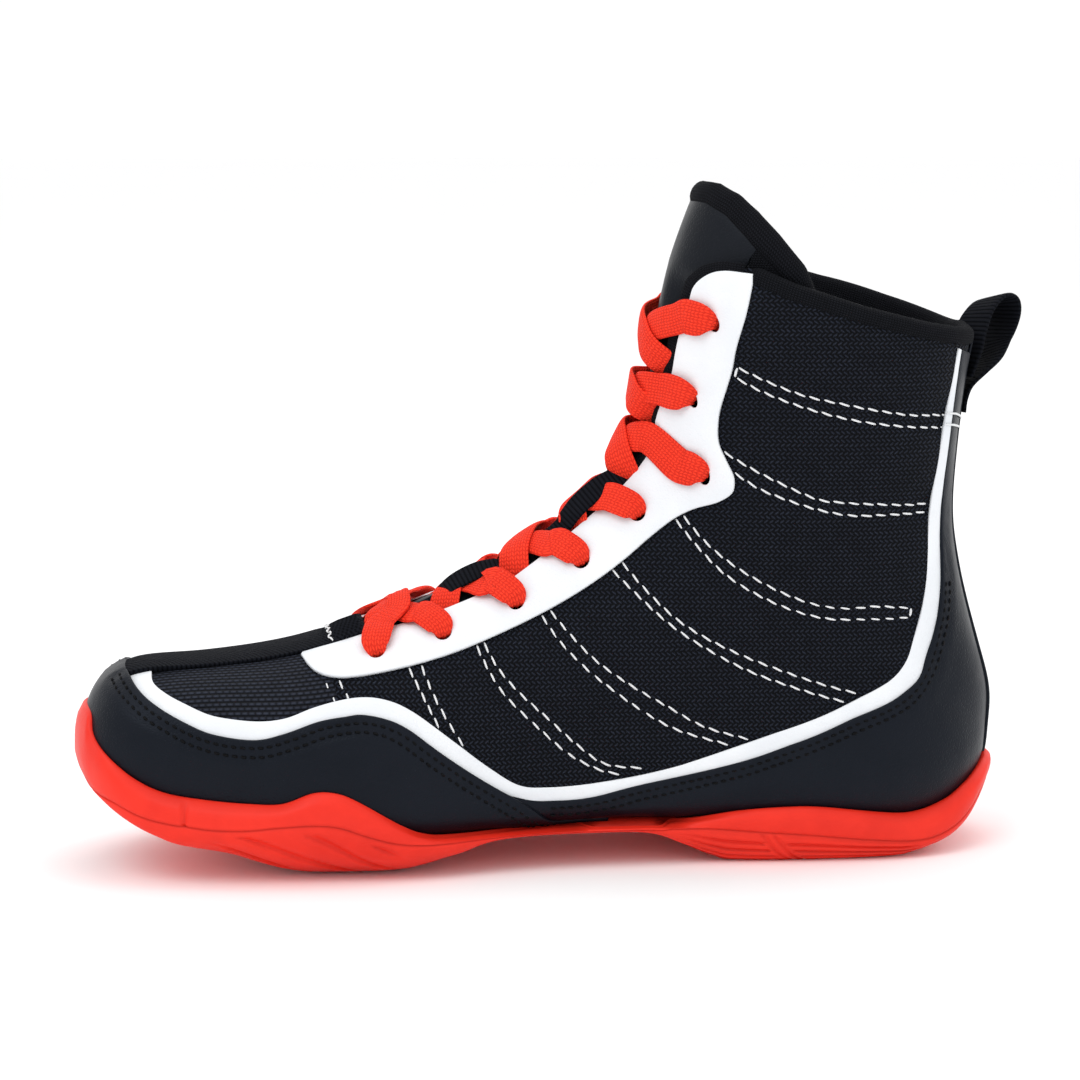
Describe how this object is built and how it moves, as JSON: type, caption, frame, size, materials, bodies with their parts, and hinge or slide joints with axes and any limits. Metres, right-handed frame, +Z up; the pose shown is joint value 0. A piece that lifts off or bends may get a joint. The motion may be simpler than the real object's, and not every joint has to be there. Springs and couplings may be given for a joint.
{
  "type": "boxing boot",
  "caption": "High boxing boot with a mesh upper, synthetic leather overlays, eyelet lacing, hinged tongue flap, heel pull tab and a pod rubber outsole.",
  "frame": {"origin": "middle of the boot's footprint, on the floor it stands on", "axes": "+X from the toe to the heel, +Y towards the outer side of the foot, +Z up"},
  "size_m": [0.2978, 0.0991, 0.2078],
  "materials": {
    "rubber": "matte moulded red rubber",
    "eva": "matte foam",
    "board": "pressed fibre board",
    "sockliner": "brushed textile over foam",
    "mesh": "black sports mesh",
    "leather": "black synthetic leather, fine grain, satin",
    "white": "white synthetic leather, satin",
    "knit": "black knitted trim",
    "foam": "open foam padding",
    "lining": "black textile lining",
    "stiffener": "matte moulded stiffener",
    "lace": "red flat woven lace",
    "webbing": "black ribbed webbing",
    "aglet": "clear red lace tip"
  },
  "bodies": {
    "boot": {"outsole": "rubber", "midsole": "eva", "insole_board": "board", "sockliner": "sockliner", "toe_box": "mesh", "toe_puff": "stiffener", "vamp_lining": "lining", "quarter_medial": "mesh", "ankle_padding_medial": "foam", "quarter_lateral": "mesh", "ankle_padding_lateral": "foam", "heel_counter": "stiffener", "quarter_lining": "lining", "toe_overlay": "leather", "heel_overlay": "leather", "heel_strip": "leather", "stripe_medial": "white", "eyestay_medial": "white", "stripe_lateral": "white", "eyestay_lateral": "white", "toe_tape": "webbing", "collar_binding": "knit", "tongue_face": "leather", "tongue_foam": "foam", "tongue_lining": "lining", "lace": "lace", "aglet_medial": "aglet", "aglet_lateral": "aglet", "lace_keeper": "webbing", "pull_tab_strap": "webbing"},
    "tongue_flap": {"flap_cover": "leather", "flap_foam": "foam", "flap_lining": "lining", "flap_roll": "knit"},
    "tab": {"pull_tab": "webbing"}
  },
  "joints": [
    {"name": "tongue_flap_fold", "type": "hinge", "parent": "boot", "child": "tongue_flap", "pos_m": [0.0387, 0, 0.1896], "axis": [0, 1, 0], "range_deg": [-40, 0]},
    {"name": "pull_tab_flop", "type": "hinge", "parent": "boot", "child": "tab", "pos_m": [0.1359, 0, 0.147], "axis": [0, 1, 0], "range_deg": [0, 60], "stiffness_Nm_per_rad": 0.02}
  ]
}
